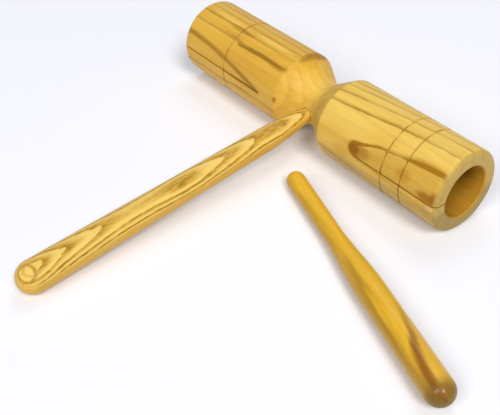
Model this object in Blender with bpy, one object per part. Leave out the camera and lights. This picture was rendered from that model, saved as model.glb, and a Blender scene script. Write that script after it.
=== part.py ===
# Two tone wood block with its handle and its loose beater, lying as it is set down.
# Metres, +Z up. The block lies along X, the handle runs to -Y and its far end rests
# on the same surface as the block and the beater, which is z = 0.
import math

import bmesh
import bpy
from mathutils import Matrix, Vector

# Clearances
GLUE_GAP = 0.0003

# Turned block: two hollow tubes and the waist between them
BLOCK_RADIUS = 0.0221
FAR_TUBE_END = 0.1010
NEAR_TUBE_END = 0.0990
RIM_ROUND = 0.0028
BORE_RADIUS = 0.0140
BORE_FLOOR_ROUND = 0.0030
BORE_MOUTH_ROUND = 0.0008
FAR_BORE_DEPTH = 0.074
NEAR_BORE_DEPTH = 0.060

# Saw slits, one through the front wall of each tube
SLIT_WIDTH = 0.0010
FAR_SLIT_LENGTH = 0.070
NEAR_SLIT_LENGTH = 0.052
SLIT_TURN = math.radians(5)

# Fine turned rings: one marks the far tone, two mark the near tone
RING_WIDTH = 0.0011
RING_DEPTH = 0.0005
FAR_RINGS = [0.0625]
NEAR_RINGS = [0.0635, 0.0760]

# Waist: one wide turned groove with straight flanks and a round bottom
WAIST_RADIUS = 0.0130
WAIST_HALF_WIDTH = 0.0178
WAIST_BOTTOM_ROUND = 0.0110
WAIST_EDGE_ROUND = 0.0020

# Handle: turned stick, thin where it enters the waist
HANDLE_LENGTH = 0.1892
TENON_RADIUS = 0.0037
TENON_DEPTH = 0.0150
HANDLE_SHAFT_RADIUS = 0.0066
HANDLE_END_RADIUS = 0.0083
HANDLE_TAPER_LENGTH = 0.032

# Beater: turned stick with a thick head, a narrow neck and a rounded tail
BEATER_LENGTH = 0.1580
BEATER_TAIL_RADIUS = 0.0051
BEATER_NECK_RADIUS = 0.0049
BEATER_NECK_LENGTH = 0.0500
BEATER_SWELL_LENGTH = 0.0420
BEATER_HEAD_RADIUS = 0.0070
BEATER_TAIL_X = 0.0238
BEATER_TAIL_Y = -0.0412
BEATER_TURN = math.radians(-18.1)

ROUND_SEGMENTS = 72
STICK_SEGMENTS = 40
CUTTER_MARGIN = 0.004


def clear_scene():
    for item in list(bpy.data.objects):
        bpy.data.objects.remove(item)


def make_material(name, colour, roughness):
    material = bpy.data.materials.new(name)
    material.use_nodes = True
    shader = material.node_tree.nodes["Principled BSDF"]
    shader.inputs["Base Color"].default_value = (*colour, 1.0)
    shader.inputs["Roughness"].default_value = roughness
    shader.inputs["Metallic"].default_value = 0.0
    return material


def add_object(name, mesh, material=None):
    item = bpy.data.objects.new(name, mesh)
    bpy.context.collection.objects.link(item)
    if material:
        mesh.materials.append(material)
    return item


def arc(centre_x, centre_r, radius, start, end, steps):
    """Points of a profile arc, from one angle to the other in degrees."""
    points = []
    for step in range(steps + 1):
        angle = math.radians(start + (end - start) * step / steps)
        x = centre_x + radius * math.cos(angle)
        r = centre_r + radius * math.sin(angle)
        points.append((x, r))
    return points


def turned_mesh(name, profile, segments):
    """Spin a profile of (along, radius) points about X into one closed body."""
    mesh = bpy.data.meshes.new(name)
    shape = bmesh.new()
    verts = [shape.verts.new((x, 0.0, max(r, 0.0))) for x, r in profile]
    edges = [shape.edges.new(pair) for pair in zip(verts, verts[1:])]
    bmesh.ops.spin(
        shape, geom=verts + edges, cent=(0, 0, 0), axis=(1, 0, 0),
        angle=math.tau, steps=segments, use_merge=True, use_duplicate=False)
    bmesh.ops.remove_doubles(shape, verts=shape.verts, dist=0.000001)
    bmesh.ops.recalc_face_normals(shape, faces=shape.faces)
    shape.to_mesh(mesh)
    shape.free()
    return mesh


def smooth(item, angle=35):
    item.data.shade_smooth()
    item.data.set_sharp_from_angle(angle=math.radians(angle))


def ring_groove(x):
    """The three points of a fine V groove, in profile order along +X."""
    half = RING_WIDTH / 2
    return [(x - half, BLOCK_RADIUS), (x, BLOCK_RADIUS - RING_DEPTH), (x + half, BLOCK_RADIUS)]


def bore_profile(tube_end, depth):
    """Half section of one bore for the +X tube, from its floor out to its mouth."""
    floor = tube_end - depth
    corner = BORE_FLOOR_ROUND
    points = [(floor, 0.0)]
    points += arc(floor + corner, BORE_RADIUS - corner, corner, 180, 90, 4)
    mouth = BORE_MOUTH_ROUND
    points += [(tube_end - mouth, BORE_RADIUS), (tube_end, BORE_RADIUS + mouth)]
    return points


def tube_half(tube_end, depth, rings):
    """Half section of the +X side: bore floor, mouth, rim and the outer wall back."""
    points = bore_profile(tube_end, depth)
    points += arc(tube_end - RIM_ROUND, BLOCK_RADIUS - RIM_ROUND, RIM_ROUND, 0, 90, 4)
    for x in sorted(rings, reverse=True):
        points += reversed(ring_groove(x))
    return points


def flank_slope():
    """Slope in degrees of the waist's flanks, which touch its bottom round."""
    edge = Vector((WAIST_HALF_WIDTH, BLOCK_RADIUS - WAIST_RADIUS - WAIST_BOTTOM_ROUND))
    touch = math.atan2(edge.y, edge.x) - math.acos(WAIST_BOTTOM_ROUND / edge.length)
    return 90 + math.degrees(touch)


def waist_half():
    """Half section of the waist's +X side, from the tube down to the groove's middle."""
    slope = flank_slope()
    setback = WAIST_EDGE_ROUND * math.tan(math.radians(slope) / 2)
    points = arc(
        WAIST_HALF_WIDTH + setback, BLOCK_RADIUS - WAIST_EDGE_ROUND, WAIST_EDGE_ROUND,
        90, 90 + slope, 3)
    points += arc(0.0, WAIST_RADIUS + WAIST_BOTTOM_ROUND, WAIST_BOTTOM_ROUND, slope - 90, -90, 6)
    return points


def waist_radius_at(x):
    """Radius of the waist's bottom round at a distance from its middle."""
    return WAIST_RADIUS + WAIST_BOTTOM_ROUND - math.sqrt(WAIST_BOTTOM_ROUND ** 2 - x ** 2)


def block_profile():
    near = tube_half(NEAR_TUBE_END, NEAR_BORE_DEPTH, NEAR_RINGS) + waist_half()
    far = tube_half(FAR_TUBE_END, FAR_BORE_DEPTH, FAR_RINGS) + waist_half()[:-1]
    return near + [(-x, r) for x, r in reversed(far)]


def cutter(name, mesh):
    item = add_object(name, mesh)
    item.hide_render = True
    item.display_type = "WIRE"
    return item


def cut(target, tool):
    modifier = target.modifiers.new(tool.name, "BOOLEAN")
    modifier.operation = "DIFFERENCE"
    modifier.solver = "EXACT"
    modifier.object = tool


def outward(turn):
    """Unit vector square to X: turn 0 is the front, -Y, and a quarter turn is up."""
    return Vector((0.0, -math.cos(turn), math.sin(turn)))


def frame_along(direction):
    """Rotation whose X axis is the direction and whose Y axis stays square to world X."""
    x_axis = Vector(direction).normalized()
    y_axis = Vector((0.0, 0.0, 1.0)).cross(x_axis).normalized()
    return Matrix((x_axis, y_axis, x_axis.cross(y_axis))).transposed().to_4x4()


def handle_drop():
    """Angle by which the handle comes down, so that its thick end rests."""
    fall = BLOCK_RADIUS - HANDLE_END_RADIUS
    return math.asin(fall / (HANDLE_LENGTH - HANDLE_END_RADIUS))


def handle_direction():
    return outward(-handle_drop())


def block_centre():
    return Vector((0.0, 0.0, BLOCK_RADIUS))


def slit_cutter(name, tube_end, length, side):
    """A saw cut through the front wall, open at the tube's mouth."""
    reach = BLOCK_RADIUS + CUTTER_MARGIN
    size = Vector((length + CUTTER_MARGIN, reach, SLIT_WIDTH))
    mesh = bpy.data.meshes.new(name)
    shape = bmesh.new()
    bmesh.ops.create_cube(shape, size=1.0)
    bmesh.ops.scale(shape, vec=size, verts=shape.verts)
    shape.to_mesh(mesh)
    shape.free()
    tool = cutter(name, mesh)
    middle = side * (tube_end - length + size.x / 2)
    turn = Matrix.Rotation(-SLIT_TURN, 4, "X")
    local = Vector((middle, -reach / 2, 0.0))
    turn.translation = block_centre() + turn.to_3x3() @ local
    tool.matrix_world = turn
    return tool


def socket_cutter():
    radius = TENON_RADIUS + GLUE_GAP
    inner = TENON_DEPTH + GLUE_GAP - WAIST_RADIUS
    outer = BLOCK_RADIUS + CUTTER_MARGIN
    profile = [(-inner, 0.0), (-inner, radius), (outer, radius), (outer, 0.0)]
    tool = cutter("handle_socket_drill", turned_mesh("handle_socket_drill", profile, STICK_SEGMENTS))
    place = frame_along(handle_direction())
    place.translation = block_centre()
    tool.matrix_world = place
    return tool


def build_block():
    wood = make_material("pale_ash", (0.72, 0.46, 0.14), 0.32)
    block = add_object("block_body", turned_mesh("block_body", block_profile(), ROUND_SEGMENTS), wood)
    block.location = block_centre()
    cut(block, slit_cutter("far_slit_saw", FAR_TUBE_END, FAR_SLIT_LENGTH, -1))
    cut(block, slit_cutter("near_slit_saw", NEAR_TUBE_END, NEAR_SLIT_LENGTH, 1))
    cut(block, socket_cutter())
    smooth(block)
    return block


def handle_profile():
    """Half section along the handle, measured from the block's axis."""
    tenon_start = WAIST_RADIUS - TENON_DEPTH
    throat = waist_radius_at(TENON_RADIUS + GLUE_GAP) + GLUE_GAP
    points = [(tenon_start, 0.0), (tenon_start, TENON_RADIUS)]
    swell_start = HANDLE_TAPER_LENGTH + throat
    for step in range(9):
        t = step / 8
        rise = math.sin(t * math.pi / 2)
        radius = TENON_RADIUS + (HANDLE_SHAFT_RADIUS - TENON_RADIUS) * rise
        points.append((throat + HANDLE_TAPER_LENGTH * t, radius))
    end_centre = HANDLE_LENGTH - HANDLE_END_RADIUS
    points += arc(end_centre, 0.0, HANDLE_END_RADIUS, 90, 0, 9)
    return points


def build_handle():
    wood = make_material("pale_ash_handle", (0.76, 0.50, 0.17), 0.34)
    handle = add_object("handle", turned_mesh("handle", handle_profile(), STICK_SEGMENTS), wood)
    place = frame_along(handle_direction())
    place.translation = block_centre()
    handle.matrix_world = place
    smooth(handle)
    return handle


def smooth_step(t):
    return t * t * (3 - 2 * t)


def beater_profile():
    """Half section from the thin tail to the thick head."""
    points = arc(BEATER_TAIL_RADIUS, 0.0, BEATER_TAIL_RADIUS, 180, 90, 6)
    head_centre = BEATER_LENGTH - BEATER_HEAD_RADIUS
    for step in range(7):
        t = step / 6
        radius = BEATER_NECK_RADIUS + (BEATER_HEAD_RADIUS - BEATER_NECK_RADIUS) * smooth_step(t)
        points.append((BEATER_NECK_LENGTH + BEATER_SWELL_LENGTH * t, radius))
    points += arc(head_centre, 0.0, BEATER_HEAD_RADIUS, 90, 0, 8)
    return points


def build_beater():
    wood = make_material("honey_beech", (0.62, 0.34, 0.05), 0.28)
    beater = add_object("beater", turned_mesh("beater", beater_profile(), STICK_SEGMENTS), wood)
    run = BEATER_NECK_LENGTH + BEATER_SWELL_LENGTH - BEATER_TAIL_RADIUS
    rise = math.asin((BEATER_HEAD_RADIUS - BEATER_TAIL_RADIUS) / run)
    direction = Vector((
        math.cos(BEATER_TURN) * math.cos(rise),
        math.sin(BEATER_TURN) * math.cos(rise),
        math.sin(rise)))
    place = frame_along(direction)
    tail_centre = Vector((BEATER_TAIL_X, BEATER_TAIL_Y, BEATER_TAIL_RADIUS))
    place.translation = tail_centre - direction * BEATER_TAIL_RADIUS
    beater.matrix_world = place
    smooth(beater)
    return beater


def stand_over_origin(pieces):
    """Move everything so that the pieces' box stands centred over the origin."""
    bpy.context.view_layer.update()
    points = [piece.matrix_world @ vertex.co for piece in pieces for vertex in piece.data.vertices]
    low = [min(point[axis] for point in points) for axis in (0, 1)]
    high = [max(point[axis] for point in points) for axis in (0, 1)]
    shift = Vector((-(low[0] + high[0]) / 2, -(low[1] + high[1]) / 2, 0.0))
    for item in bpy.data.objects:
        item.matrix_world = Matrix.Translation(shift) @ item.matrix_world


clear_scene()
stand_over_origin([build_block(), build_handle(), build_beater()])
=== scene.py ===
import math

import bpy
from mathutils import Matrix, Vector


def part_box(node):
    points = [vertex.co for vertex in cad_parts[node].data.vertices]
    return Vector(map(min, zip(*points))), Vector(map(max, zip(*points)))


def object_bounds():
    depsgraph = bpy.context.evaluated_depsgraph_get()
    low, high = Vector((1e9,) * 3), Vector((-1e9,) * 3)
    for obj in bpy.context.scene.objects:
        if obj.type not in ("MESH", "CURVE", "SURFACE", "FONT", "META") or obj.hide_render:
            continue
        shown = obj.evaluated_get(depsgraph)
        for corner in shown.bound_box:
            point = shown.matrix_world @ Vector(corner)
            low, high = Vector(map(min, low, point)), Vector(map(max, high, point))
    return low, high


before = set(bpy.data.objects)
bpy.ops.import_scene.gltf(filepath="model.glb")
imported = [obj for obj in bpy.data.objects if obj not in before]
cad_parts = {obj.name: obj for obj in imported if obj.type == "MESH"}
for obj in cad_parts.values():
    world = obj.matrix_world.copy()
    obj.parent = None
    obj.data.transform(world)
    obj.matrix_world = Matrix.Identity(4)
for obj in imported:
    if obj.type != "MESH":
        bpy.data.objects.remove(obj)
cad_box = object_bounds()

# The camera: it looks down on the block's near tube from the front right, as the photographer did.
# It is placed from the waist's middle, the point on the block's axis between the two tubes.
block_low, block_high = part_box("block_body")
block_radius = (block_high[2] - block_low[2]) / 2
far_tube_length = 0.1010
near_tube_length = 0.0990
waist_middle = Vector((block_low[0] + far_tube_length, (block_low[1] + block_high[1]) / 2, block_radius))
looks_at = waist_middle + Vector((0.0291, -0.0758, 0.010 - block_radius))
camera_turn = math.radians(53.31)
camera_height = math.radians(40.92)
camera_tilt = math.radians(-2.75)
camera_distance = 0.4232

towards_camera = Vector((
    math.sin(camera_turn) * math.cos(camera_height),
    -math.cos(camera_turn) * math.cos(camera_height),
    math.sin(camera_height)))
level = Vector((math.cos(camera_turn), math.sin(camera_turn), 0.0))
camera_right = Matrix.Rotation(camera_tilt, 3, towards_camera) @ level
camera_up = towards_camera.cross(camera_right)
camera_data = bpy.data.cameras.new("camera")
camera_data.sensor_width = 36.0
camera_data.lens = 61.85
camera_data.clip_end = 20.0
camera = bpy.data.objects.new("camera", camera_data)
camera.matrix_world = Matrix((camera_right, camera_up, towards_camera)).transposed().to_4x4()
camera.matrix_world.translation = looks_at + towards_camera * camera_distance
bpy.context.scene.collection.objects.link(camera)
bpy.context.scene.camera = camera

# The block: one piece of pale ash, turned, bored from both ends, grooved at the waist and sawn with
# a slit in each tube, under a clear satin varnish. Its growth rings run along it as olive brown
# lines, which fan out on the near tube and close in a loop on its front, over the slit.


def finish(name):
    """A new material, and the node tree that its finish is built in."""
    material = bpy.data.materials.new(name)
    material.use_nodes = True
    return material, material.node_tree


def add(tree, kind, inputs, **settings):
    """A node with its settings, and with each input given as a value or as another node's output."""
    node = tree.nodes.new(kind)
    for name, value in settings.items():
        setattr(node, name, value)
    for name, value in inputs.items():
        if isinstance(value, bpy.types.NodeSocket):
            tree.links.new(value, node.inputs[name])
        else:
            node.inputs[name].default_value = value
    return node


def calc(tree, operation, first, second=0.0, third=0.0):
    inputs = {0: first, 1: second, 2: third}
    return add(tree, "ShaderNodeMath", inputs, operation=operation).outputs[0]


def minus(tree, first, second):
    return calc(tree, "SUBTRACT", first, second)


def times(tree, first, second):
    return calc(tree, "MULTIPLY", first, second)


def times_plus(tree, first, second, third):
    """The first times the second, plus the third."""
    return calc(tree, "MULTIPLY_ADD", first, second, third)


def greater(tree, first, second):
    return calc(tree, "MAXIMUM", first, second)


def size_of(tree, value):
    """The value without its sign."""
    return calc(tree, "ABSOLUTE", value)


def fade(tree, value, start, end):
    """Rises smoothly from 0 at the start to 1 at the end."""
    inputs = {"Value": value, "From Min": start, "From Max": end}
    return add(tree, "ShaderNodeMapRange", inputs, interpolation_type="SMOOTHSTEP").outputs[0]


def in_vector(tree, operation, first, second=(0.0, 0.0, 0.0)):
    return add(tree, "ShaderNodeVectorMath", {0: first, 1: tuple(second)}, operation=operation).outputs


def in_millimetres(tree, origin, axes):
    """The place in the piece's wood, in millimetres from its origin and along its own three axes."""
    place = tree.nodes.new("ShaderNodeTexCoord").outputs["Object"]
    away = in_vector(tree, "SUBTRACT", place, origin)[0]
    parts = [in_vector(tree, "DOT_PRODUCT", away, axis * 1000)["Value"] for axis in axes]
    return add(tree, "ShaderNodeCombineXYZ", dict(enumerate(parts))).outputs[0], parts


def cloud(tree, place, stretch, size, detail=2.0):
    """Soft noise in millimetres, drawn out by the stretch along each axis."""
    drawn = in_vector(tree, "MULTIPLY", place, [1 / (size * share) for share in stretch])[0]
    inputs = {"Vector": drawn, "Scale": 1.0, "Detail": detail}
    return add(tree, "ShaderNodeTexNoise", inputs).outputs["Fac"]


def unrest(tree, place, stretch, size, detail=2.0):
    """The same noise about 0, to move the rings to either side."""
    return minus(tree, cloud(tree, place, stretch, size, detail), 0.5)


def patch(tree, place, centre, reach):
    """A soft oval spot: 1 in its middle and 0 at its edge."""
    away = in_vector(tree, "SUBTRACT", place, centre)[0]
    away = in_vector(tree, "DIVIDE", away, reach)[0]
    away = in_vector(tree, "LENGTH", away)["Value"]
    return minus(tree, 1.0, fade(tree, away, 0.35, 1.0))


def on_tube(along, turn, reach=block_radius * 1000):
    """A place on the tubes' skin: millimetres along the block, and degrees up from the front."""
    return Vector((along, -reach * math.cos(math.radians(turn)), reach * math.sin(math.radians(turn))))


def eased(tree, strength, where, share):
    """The strength, less that share of it where the lines have to be faint."""
    return times(tree, strength, times_plus(tree, where, -share, 1.0))


def ring_lines(tree, rings, starts, strength):
    """Late wood darkens up to each whole ring number, then changes sharply to pale wood."""
    late = (1.0 - starts) / 3
    stops = [
        (0.0, 0.35), (0.04, 0.05), (0.3, 0.0),
        (starts, 0.05), (starts + late, 0.4), (1.0 - late * 0.6, 1.0)]
    node = add(tree, "ShaderNodeValToRGB", {"Fac": calc(tree, "FRACT", rings)})
    ramp = node.color_ramp
    while len(ramp.elements) < len(stops):
        ramp.elements.new(0.5)
    for element, (position, darkness) in zip(ramp.elements, stops):
        element.position = position
        element.color = (darkness, darkness, darkness, 1)
    return calc(tree, "MINIMUM", times(tree, node.outputs["Color"], strength), 1.0)


def tinted(tree, amount, first, second, way="MIX"):
    inputs = {0: amount, 6: first, 7: second}
    return add(tree, "ShaderNodeMix", inputs, data_type="RGBA", blend_type=way).outputs[2]


def painted(tree, colour, where, share, paint, way="MIX"):
    """The colour, with that share of the paint laid over it where it belongs."""
    return tinted(tree, times(tree, where, share), colour, paint, way)


def varnished(tree, colour, fibre, roughness, coat, coat_roughness, relief):
    """The clear finish: a satin wood under a thin coat, with the fibres' faint relief."""
    shader = tree.nodes["Principled BSDF"]
    shader.inputs["Roughness"].default_value = roughness
    shader.inputs["Coat Weight"].default_value = coat
    shader.inputs["Coat Roughness"].default_value = coat_roughness
    shader.inputs["Specular IOR Level"].default_value = 0.18
    tree.links.new(colour, shader.inputs["Base Color"])
    bump = add(tree, "ShaderNodeBump", {"Strength": relief, "Distance": 0.0002, "Height": fibre})
    tree.links.new(bump.outputs["Normal"], shader.inputs["Normal"])


def dress(node, material):
    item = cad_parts[node]
    item.data.materials.clear()
    item.data.materials.append(material)


ash_pale = (0.86, 0.585, 0.122, 1)
ash_gold = (0.735, 0.42, 0.048, 1)
ash_late = (0.33, 0.165, 0.008, 1)
ash_heart = (0.60, 0.33, 0.035, 1)
ash_brown = (0.38, 0.175, 0.004, 1)
ash_scorch = (0.32, 0.120, 0.000, 1)
ash_hollow = (0.76, 0.47, 0.040, 1)
ash_orange = (0.60, 0.29, 0.030, 1)
ash_groove_shade = (0.26, 0.135, 0.010, 1)
ash_end_grain = (0.49, 0.335, 0.080, 1)
ash_bore_and_shade = (0.52, 0.25, 0.012, 1)
bore_shade = (0.19, 0.095, 0.008, 1)
ash_lip_highlight = (0.88, 0.60, 0.30, 1)
below_shade = (0.72, 0.72, 0.84, 1)
flank_shade = (0.80, 0.78, 0.80, 1)
streak_shade = (0.80, 0.72, 0.48, 1)
fibre_shade = (0.84, 0.78, 0.60, 1)

block_ash, tree = finish("varnished_ash_block")
block_axes = [Vector((1, 0, 0)), Vector((0, 1, 0)), Vector((0, 0, 1))]
place, (along, back, up) = in_millimetres(tree, waist_middle, block_axes)

# The rings are stacked along a line 22 degrees above the front. Noise sways them, most at the back.
# A knotty patch on the far tube's top stirs them, and they lean down round the near tube's loop.
ring_tilt = math.radians(22)
across = times(tree, up, math.sin(ring_tilt))
across = times_plus(tree, back, -math.cos(ring_tilt), across)
sway = unrest(tree, place, (9, 1, 1), 9.0)
ripple = unrest(tree, place, (4, 1, 1), 1.4, 3.0)
knots = unrest(tree, place, (3, 1, 1), 2.6, 1.0)
knots = times(tree, knots, patch(tree, place, on_tube(-62, 66), (15, 11, 11)))
across = times_plus(tree, knots, 2.6, across)
calm = times_plus(tree, fade(tree, across, 16.0, 22.0), -0.85, 1.0)
across = times_plus(tree, times(tree, sway, calm), 2.2, across)
across = times_plus(tree, times(tree, ripple, calm), 1.0, across)
beyond = times(tree, up, math.cos(ring_tilt))
beyond = times_plus(tree, back, math.sin(ring_tilt), beyond)
beyond = times(tree, beyond, fade(tree, across, 18.8, 20.4))
beyond = times(tree, beyond, fade(tree, along, 20.0, 34.0))
at_tip = fade(tree, along, 60.0, 46.0)
across = times_plus(tree, beyond, times_plus(tree, at_tip, -0.075, -0.045), across)
across = times_plus(tree, at_tip, -0.26, across)
far_side = times(tree, fade(tree, along, -66.0, -54.0), fade(tree, along, -12.0, -22.0))
across = times_plus(tree, far_side, -0.65, across)

# From the waist on they fan out along the near tube, more slowly over its last part.
waist_edge = 17.8
ring_spacing = 4.75
loop_ring = 23.0
out = greater(tree, minus(tree, along, waist_edge), 0.0)
last_part = greater(tree, minus(tree, out, 45.0), 0.0)
out = minus(tree, out, times(tree, calc(tree, "POWER", last_part, 2.0), 0.003))
fanned = times_plus(tree, out, 0.178, across)
fanned = calc(tree, "DIVIDE", fanned, times_plus(tree, out, 0.006, 1.0))
rings = calc(tree, "DIVIDE", minus(tree, loop_ring, fanned), -ring_spacing)

# Some stretches of the lines are dark and broad, others nearly fade out: how far along, how far
# round, half the length, and how much darker.
dark_stretches = [
    (-38, 52, 24, 0.9), (89, 43, 20, 0.95), (55, 29, 20, 0.9), (46, 18, 11, 1.2),
    (45, 12, 9, 0.9), (-64, 74, 16, 0.5), (52, 65, 40, 0.3)]
strength = times_plus(tree, cloud(tree, place, (6, 1, 1), 5.0, 1.0), 1.3, -0.08)
for middle, turn, half, more in dark_stretches:
    near = patch(tree, place, on_tube(middle, turn), (half, 5.5, 5.5))
    strength = times_plus(tree, near, more, strength)
strength = greater(tree, strength, 0.30)

# The loop's own line starts at its tip, and is narrow there. In the waist all lines are faint.
before_loop = times(tree, fade(tree, rings, -0.45, -0.30), fade(tree, along, 44.5, 39.5))
before_loop = times(tree, before_loop, fade(tree, along, 15.0, 22.0))
strength = eased(tree, strength, before_loop, 0.9)
narrow = times_plus(tree, fade(tree, along, 84.0, 50.0), 2.6, 1.0)
narrow = greater(tree, times(tree, rings, narrow), -0.55)
at_loop = times(tree, fade(tree, rings, -0.45, -0.32), fade(tree, rings, 0.05, 0.0))
at_loop = times(tree, at_loop, fade(tree, along, 15.0, 25.0))
drawn = times_plus(tree, at_loop, minus(tree, narrow, rings), rings)
in_waist = fade(tree, size_of(tree, along), 18.0, 17.0)
strength = eased(tree, strength, in_waist, 0.82)
lines = ring_lines(tree, drawn, 0.69, strength)

# A slow diagonal line on the far tube's front runs down to the end of its slit.
far_slit_end = -31.0
run = minus(tree, far_slit_end, along)
slope = times_plus(tree, run, -0.0021, 0.283)
height = times_plus(tree, run, slope, 2.0)
beside = size_of(tree, times_plus(tree, ripple, 0.8, minus(tree, up, height)))
diagonal = minus(tree, 1.0, fade(tree, beside, 0.3, 2.3))
diagonal = times(tree, diagonal, fade(tree, back, -8.0, -14.0))
diagonal = times(tree, diagonal, fade(tree, run, -3.0, 4.0))
uneven = times_plus(tree, cloud(tree, place, (6, 1, 1), 3.0, 1.0), 0.6, 0.62)
lines = greater(tree, lines, times(tree, diagonal, uneven))

# The wood under the lines: pale on the near tube, golden on the far one, redder inside the loop.
blush = cloud(tree, place, (3, 1, 1), 11.0, 1.0)
golden = times(tree, fade(tree, along, 15.0, -15.0), 0.8)
ripe = times_plus(tree, fade(tree, calc(tree, "FRACT", rings), 0.0, 0.8), 0.2, golden)
ripe = calc(tree, "ADD", ripe, times_plus(tree, blush, 1.0, -0.45))
ripe = calc(tree, "MINIMUM", greater(tree, ripe, 0.0), 1.0)
colour = tinted(tree, ripe, ash_pale, ash_gold)
in_loop = times(tree, fade(tree, fanned, 22.6, 23.4), fade(tree, along, 36.0, 44.0))
colour = painted(tree, colour, in_loop, 0.6, ash_heart)
late_colour = tinted(tree, fade(tree, rings, -0.50, -0.30), ash_late, ash_brown)
colour = tinted(tree, lines, colour, late_colour)

# Stains, soaked end grain, painted highlights and painted shade: how far along, how far round, the
# reach each way, the colour and how much of it. They darken the loop's tip and the near rim, paint
# highlights on the near slit's lower lip and along the far tube's top, paint shade into the upper far
# side of the waist and tint the waist.
for middle, turn, reach, stain_colour, amount in [
        (93.0, 12.0, (8.5, 5.0, 3.4), ash_scorch, 0.80),
        (98.0, 15.0, (5.0, 5.0, 5.2), ash_scorch, 0.85),
        (-17.5, 9.5, (1.5, 3.0, 2.4), ash_scorch, 0.75),
        (44.6, 14.8, (5.0, 4.0, 3.9), ash_scorch, 0.95),
        (48.5, 15.5, (9.0, 5.0, 5.0), ash_scorch, 0.50),
        (77.0, 22.0, (6.5, 5.0, 5.0), ash_orange, 0.75),
        (36.0, 2.0, (8.0, 5.0, 6.0), ash_orange, 0.35),
        (-50.0, 31.0, (30.0, 6.0, 5.0), ash_orange, 0.30),
        # painted shade in the waist's upper far side, on this line and the next
        (-16.5, 118.0, (3.2, 16.0, 9.0), ash_late, 0.85),
        (-12.0, 96.0, (6.5, 11.0, 6.0), ash_bore_and_shade, 0.55),
        (-64.0, 73.0, (13.0, 2.2, 2.2), ash_late, 0.55),
        # painted highlights along the far tube's top, on this line and the next
        (-75.0, 81.0, (22.0, 2.0, 2.0), ash_pale, 0.75),
        (-38.0, 81.5, (20.0, 2.0, 2.0), ash_pale, 0.75),
        (-25.0, 52.7, (10.0, 1.9, 1.9), ash_late, 0.45),
        # painted shade in the waist's upper far side
        (-16.3, 92.0, (2.6, 7.0, 6.0), ash_late, 0.60),
        (-9.0, 88.0, (8.0, 14.0, 9.0), ash_hollow, 0.60),
        # painted highlights on the near slit's lower lip, on this line and the next
        (97.0, 1.0, (5.0, 4.0, 1.7), ash_lip_highlight, 0.75),
        (82.0, 1.4, (17.0, 3.0, 1.3), ash_pale, 0.60)]:
    stain = patch(tree, place, on_tube(middle, turn), reach)
    colour = painted(tree, colour, stain, amount, stain_colour)

# The saw darkens the slits' walls, and singes the skin beside the far slit's end.
slit_turn = math.radians(5)
near_slit_end = 47.0
from_slit = times(tree, up, math.cos(slit_turn))
from_slit = size_of(tree, times_plus(tree, back, math.sin(slit_turn), from_slit))
in_front = fade(tree, back, -13.0, -14.0)
past_far_end = fade(tree, along, far_slit_end + 0.5, far_slit_end - 0.5)
past_near_end = fade(tree, along, near_slit_end - 0.5, near_slit_end + 0.5)
sawn = times(tree, minus(tree, 1.0, fade(tree, from_slit, 0.5, 0.75)), in_front)
sawn = times(tree, sawn, calc(tree, "ADD", past_far_end, past_near_end))
colour = painted(tree, colour, sawn, 0.5, ash_heart)
near_far_end = fade(tree, along, far_slit_end + 1.0, far_slit_end - 1.0)
near_far_end = times(tree, fade(tree, along, -64.0, -50.0), near_far_end)
singed = times(tree, times(tree, fade(tree, from_slit, 1.5, 0.5), in_front), near_far_end)
colour = painted(tree, colour, singed, 0.55, ash_late)

# The three turned rings get painted shade in their grooves, unevenly.
turned_rings = [-62.5, 63.5, 76.0]
groove_shade = fade(tree, cloud(tree, place, (1, 1, 1), 5.0, 1.0), 0.35, 0.65)
groove_shade = times_plus(tree, groove_shade, 0.42, 0.30)
for mark in turned_rings:
    beside = size_of(tree, minus(tree, along, mark))
    ring = minus(tree, 1.0, fade(tree, beside, 0.40, 0.65))
    colour = painted(tree, colour, ring, groove_shade, ash_groove_shade)

# The ends show greyer end grain. The underside and the waist's near flank get painted shade, and the
# bores are darker drilled wood with painted shade over it.
near_end = near_tube_length * 1000
far_end = -far_tube_length * 1000
at_near_end = fade(tree, along, near_end - 2.4, near_end - 0.9)
at_far_end = fade(tree, along, far_end + 2.4, far_end + 0.9)
end_face = calc(tree, "ADD", at_near_end, at_far_end)
colour = painted(tree, colour, end_face, 0.88, ash_end_grain)
underside = times(tree, fade(tree, up, -1.0, -6.0), fade(tree, along, 16.0, 24.0))
colour = tinted(tree, underside, colour, below_shade, "MULTIPLY")
near_flank = times(tree, fade(tree, along, 5.0, 9.0), fade(tree, along, 18.4, 17.4))
colour = tinted(tree, near_flank, colour, flank_shade, "MULTIPLY")
from_axis = calc(tree, "SQRT", times_plus(tree, back, back, times(tree, up, up)))
drilled = times(tree, fade(tree, from_axis, 14.9, 14.3), fade(tree, size_of(tree, along), 20.0, 24.0))
colour = painted(tree, colour, drilled, 0.85, ash_bore_and_shade)
# Painted shade deepens into the bores, most on their upper walls.
deep_shade = fade(tree, size_of(tree, along), 95.0, 84.0)
deep_shade = times(tree, deep_shade, times_plus(tree, fade(tree, up, -9.0, 2.0), 0.5, 0.45))
colour = painted(tree, colour, drilled, deep_shade, bore_shade)

fibre = cloud(tree, place, (40, 1, 1), 0.35, 4.0)
streak = cloud(tree, place, (28, 1, 1), 2.2, 3.0)
colour = painted(tree, colour, fade(tree, streak, 0.42, 0.75), 0.45, streak_shade, "MULTIPLY")
colour = painted(tree, colour, fade(tree, fibre, 0.45, 0.7), 0.35, fibre_shade, "MULTIPLY")
varnished(tree, colour, fibre, roughness=0.48, coat=0.09, coat_roughness=0.30, relief=0.10)
dress("block_body", block_ash)

# The handle: a turned stick of the same ash with its grain along it, glued in its drilled socket in
# the waist. The rings cross its top at a low slope, so they show as nested pointed arches there.


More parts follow.
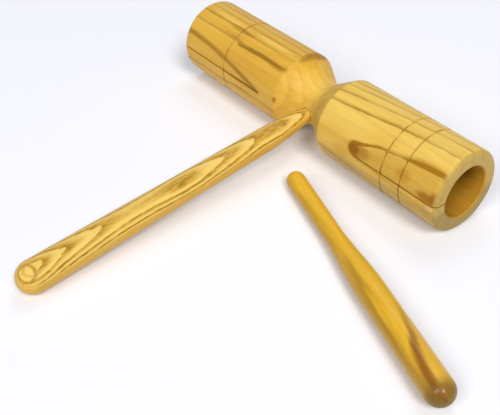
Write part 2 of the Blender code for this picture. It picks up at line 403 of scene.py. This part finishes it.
def curve_through(tree, value, points):
    """A smooth curve of the value through the points, each a place and its height."""
    low, high = points[0][0], points[-1][0]
    least = min(height for _, height in points)
    most = max(height for _, height in points)
    share = calc(tree, "DIVIDE", minus(tree, value, low), high - low)
    node = add(tree, "ShaderNodeFloatCurve", {"Value": share})
    line = node.mapping.curves[0]
    scaled = [((x - low) / (high - low), (height - least) / (most - least)) for x, height in points]
    line.points[0].location = scaled[0]
    line.points[1].location = scaled[-1]
    for spot in scaled[1:-1]:
        line.points.new(*spot)
    node.mapping.update()
    return times_plus(tree, node.outputs[0], most - least, least)


handle_pale = (0.84, 0.585, 0.140, 1)
handle_gold = (0.68, 0.40, 0.052, 1)
handle_late = (0.36, 0.185, 0.008, 1)
handle_streak = (0.80, 0.72, 0.50, 1)
handle_end_radius = 0.0083
handle_length = 0.1892
handle_fall = math.asin((block_radius - handle_end_radius) / (handle_length - handle_end_radius))
handle_runs = Vector((0.0, -math.cos(handle_fall), -math.sin(handle_fall)))
handle_side = Vector((1.0, 0.0, 0.0))
handle_top = handle_runs.cross(handle_side)
handle_ash, tree = finish("varnished_ash_handle")
place, (along, side, top) = in_millimetres(tree, waist_middle, (handle_runs, handle_side, handle_top))

# The arches: millimetres from the block's axis, and how many rings the pattern has shifted there.
arch_turn = math.radians(72)
arch_depth = 1.8
arch_shifts = [
    (10, -2.40), (30, -2.39), (45, -2.66), (58, -2.25), (71, -1.83), (84, -1.38), (95, -1.07),
    (108, -1.40), (120, -1.68), (132, -1.67), (144, -1.35), (155, -0.93), (165, -0.50),
    (172, 0.05), (177, 0.45), (190, 0.80)]
rise = times(tree, top, math.sin(arch_turn))
rise = times_plus(tree, side, math.cos(arch_turn), rise)
sway = unrest(tree, place, (7, 1, 1), 5.0)
ripple = unrest(tree, place, (3, 1, 1), 1.2)
rise = times_plus(tree, sway, 1.0, rise)
rise = times_plus(tree, ripple, 0.45, rise)
arches = curve_through(tree, along, arch_shifts)
rings = calc(tree, "ADD", arches, calc(tree, "DIVIDE", rise, arch_depth))

# The lines are strong on the top and sides and broken by pores. A pale knot in a brown ring takes
# their place on the rounded end.
knot_middle = (183.8, 3.2, 6.9)
strength = times_plus(tree, cloud(tree, place, (5, 1, 1), 3.0, 2.0), 1.5, 0.05)
strength = times(tree, strength, times_plus(tree, fade(tree, rise, 2.2, 4.4), 0.90, 0.10))
sides = times(tree, fade(tree, rise, 3.0, 4.2), fade(tree, rise, 6.4, 5.4))
strength = times(tree, strength, times_plus(tree, sides, 0.7, 1.0))
pores = fade(tree, cloud(tree, place, (5, 1, 1), 0.8, 2.0), 0.40, 0.60)
pores = times_plus(tree, pores, 0.85, 0.35)
from_knot = in_vector(tree, "DISTANCE", place, knot_middle)["Value"]
from_knot = times_plus(tree, sway, 2.0, from_knot)
strength = eased(tree, strength, fade(tree, along, 178.5, 182.5), 0.85)
strength = times(tree, strength, fade(tree, from_knot, 4.0, 6.5))
lines = ring_lines(tree, rings, 0.46, times(tree, strength, pores))
knot_ring = times(tree, fade(tree, from_knot, 3.0, 4.0), fade(tree, from_knot, 5.8, 4.3))
knot_ring = times(tree, knot_ring, times_plus(tree, pores, 0.4, 0.35))
lines = greater(tree, lines, knot_ring)

# The wood turns golden towards each ring's end and lower on the sides, where the gold is partly the
# wood's own tone and partly painted shade.
ripe = fade(tree, calc(tree, "FRACT", rings), 0.25, 0.85)
ripe = greater(tree, ripe, fade(tree, rise, 4.6, 2.0))
colour = tinted(tree, ripe, handle_pale, handle_gold)
colour = tinted(tree, lines, colour, handle_late)
fibre = cloud(tree, place, (40, 1, 1), 0.35, 4.0)
streak = cloud(tree, place, (28, 1, 1), 2.0, 3.0)
colour = painted(tree, colour, fade(tree, streak, 0.42, 0.75), 0.30, handle_streak, "MULTIPLY")
colour = painted(tree, colour, fade(tree, fibre, 0.45, 0.7), 0.30, fibre_shade, "MULTIPLY")
varnished(tree, colour, fibre, roughness=0.42, coat=0.14, coat_roughness=0.22, relief=0.10)
dress("handle", handle_ash)

# The beater: a loose stick turned from a plain close wood such as beech, with a thick striking head,
# a narrow neck and a rounded tail, under a honey coloured gloss. It lies on its tail and its head,
# and one long brown streak runs down the head to its tip.
honey_bright = (0.78, 0.44, 0.020, 1)
honey_shaded = (0.56, 0.315, 0.010, 1)
honey_brown = (0.25, 0.080, 0.000, 1)
honey_tip = (0.12, 0.070, 0.002, 1)
fleck_shade = (0.70, 0.60, 0.40, 1)
beater_tail_radius = 0.0051
beater_head_radius = 0.0070
beater_head_starts = 0.0920
beater_tail = waist_middle + Vector((0.0238, -0.0412, beater_tail_radius - block_radius))
beater_turn = math.radians(-18.1)
beater_slope = math.asin(
    (beater_head_radius - beater_tail_radius) / (beater_head_starts - beater_tail_radius))
beater_runs = Vector((
    math.cos(beater_turn) * math.cos(beater_slope),
    math.sin(beater_turn) * math.cos(beater_slope),
    math.sin(beater_slope)))
beater_front = beater_runs.cross(Vector((0.0, 0.0, 1.0))).normalized()
beater_top = beater_front.cross(beater_runs)
honey_beech, tree = finish("honey_varnish_beater")
place, (along, front, top) = in_millimetres(
    tree, beater_tail - beater_runs * beater_tail_radius, (beater_runs, beater_front, beater_top))

# How far round the stick, in hundreds of degrees up from its front, with a slight ripple. The brown
# streak and a softer one above it each follow a path: millimetres along, and how far round.
ripple = unrest(tree, place, (8, 1, 1), 2.5)
turned = times(tree, calc(tree, "ARCTAN2", top, front), 180 / math.pi / 100)
turned = times_plus(tree, ripple, 0.25, turned)
brown_path = [
    (100, 1.30), (120, 1.05), (127, 0.95), (131, 0.85), (136, 0.75), (140, 0.69), (144, 0.63),
    (148, 0.58), (158, 0.56)]
soft_path = [
    (60, 0.55), (75, 0.49), (84, 0.46), (96, 0.36), (107, 0.30), (123, 0.27), (150, 0.24)]
beside = minus(tree, turned, curve_through(tree, along, brown_path))
beside = calc(tree, "DIVIDE", beside, times_plus(tree, fade(tree, along, 115, 140), 0.9, 1.0))
brown_streak = minus(tree, 1.0, fade(tree, size_of(tree, beside), 0.02, 0.15))
brown_streak = times(tree, brown_streak, fade(tree, along, 100, 136))
beside = size_of(tree, minus(tree, turned, curve_through(tree, along, soft_path)))
soft_streak = minus(tree, 1.0, fade(tree, beside, 0.02, 0.22))
soft_streak = times(tree, soft_streak, fade(tree, along, 60, 85))

# The honey gloss gets painted shade towards the front and underside, and is darkest where it pooled on
# the tip.
shaded_front = fade(tree, times_plus(tree, ripple, 1.0, turned), 0.75, 0.15)
colour = tinted(tree, shaded_front, honey_bright, honey_shaded)
colour = painted(tree, colour, soft_streak, 0.35, honey_brown)
colour = painted(tree, colour, brown_streak, 0.92, honey_brown)
colour = painted(tree, colour, fade(tree, along, 147, 156), 0.85, honey_tip)
round_end = patch(tree, place, (155.3, 1.5, 5.0), (4.6, 5.6, 4.6))
colour = painted(tree, colour, round_end, 0.50, honey_brown)
fibre = cloud(tree, place, (40, 1, 1), 0.5, 4.0)
flecks = cloud(tree, place, (5, 1, 1), 0.6, 1.0)
colour = painted(tree, colour, fade(tree, fibre, 0.45, 0.7), 0.22, fibre_shade, "MULTIPLY")
colour = painted(tree, colour, fade(tree, flecks, 0.62, 0.72), 0.20, fleck_shade, "MULTIPLY")
varnished(tree, colour, fibre, roughness=0.40, coat=0.27, coat_roughness=0.08, relief=0.05)
dress("beater", honey_beech)

# The floor: one sheet of white paper, which keeps the pieces' soft shadows. A faint glow of its own
# brings it to white where the camera or a gloss sees it, and doesn't light the pieces.


def seen_plainly(tree):
    """1 on the rays that show the white background: from the camera, in a gloss or through glass."""
    rays = tree.nodes.new("ShaderNodeLightPath").outputs
    seen = greater(tree, rays["Is Camera Ray"], rays["Is Glossy Ray"])
    return greater(tree, seen, rays["Is Transmission Ray"])


floor_reach = 3.0
white_paper, tree = finish("white_paper")
paper = tree.nodes["Principled BSDF"]
paper.inputs["Base Color"].default_value = (0.90, 0.90, 0.94, 1)
paper.inputs["Roughness"].default_value = 0.9
paper.inputs["Specular IOR Level"].default_value = 0.1
glow_strength = times(tree, seen_plainly(tree), 0.07)
glow = add(tree, "ShaderNodeEmission", {"Color": (0.88, 0.94, 1.0, 1), "Strength": glow_strength})
both = add(tree, "ShaderNodeAddShader", {0: paper.outputs["BSDF"], 1: glow.outputs[0]})
tree.links.new(both.outputs[0], tree.nodes["Material Output"].inputs["Surface"])
sheet = bpy.data.meshes.new("floor")
corners = [(-1, -1), (1, -1), (1, 1), (-1, 1)]
sheet.from_pydata([(x * floor_reach, y * floor_reach, 0) for x, y in corners], [], [(0, 1, 2, 3)])
sheet.materials.append(white_paper)
floor = bpy.data.objects.new("floor", sheet)
floor.location.z = cad_box[0][2] - 0.0001
bpy.context.scene.collection.objects.link(floor)

# The light: a pale bluish room, white where it is seen past the floor, and three soft boxes. Those
# at the camera's right and left leave the two glints on the beater's tip, and one behind lifts the
# edges. Each has its turn and height in degrees, its size in metres and its power.
room = bpy.data.worlds.new("room")
room.use_nodes = True
tree = room.node_tree
room_light = tree.nodes["Background"]
room_light.inputs["Color"].default_value = (0.66, 0.76, 1.0, 1)
room_light.inputs["Strength"].default_value = 0.17
backdrop = add(tree, "ShaderNodeBackground", {"Color": (0.96, 0.96, 0.99, 1), "Strength": 1.0})
sky = add(tree, "ShaderNodeMixShader", {
    0: seen_plainly(tree), 1: room_light.outputs[0], 2: backdrop.outputs[0]})
tree.links.new(sky.outputs[0], tree.nodes["World Output"].inputs["Surface"])
bpy.context.scene.world = room
lamp_distance = 4.4
for name, turn, height, size, power in [
        ("right_box", -17, 48, 1.5, 120.0),
        ("left_box", -74, 43, 2.0, 78.0),
        ("back_box", 120, 60, 2.4, 38.0)]:
    lamp_data = bpy.data.lights.new(name, "AREA")
    lamp_data.size = size
    lamp_data.energy = power
    lamp_data.color = (1.0, 0.985, 0.96)
    lamp = bpy.data.objects.new(name, lamp_data)
    away = Matrix.Rotation(math.radians(turn), 3, "Z") @ Vector((
        math.cos(math.radians(height)), 0.0, math.sin(math.radians(height))))
    lamp.location = waist_middle + away * lamp_distance
    lamp.rotation_euler = away.to_track_quat("Z", "Y").to_euler()
    bpy.context.scene.collection.objects.link(lamp)

bpy.context.scene.view_settings.view_transform = "Standard"
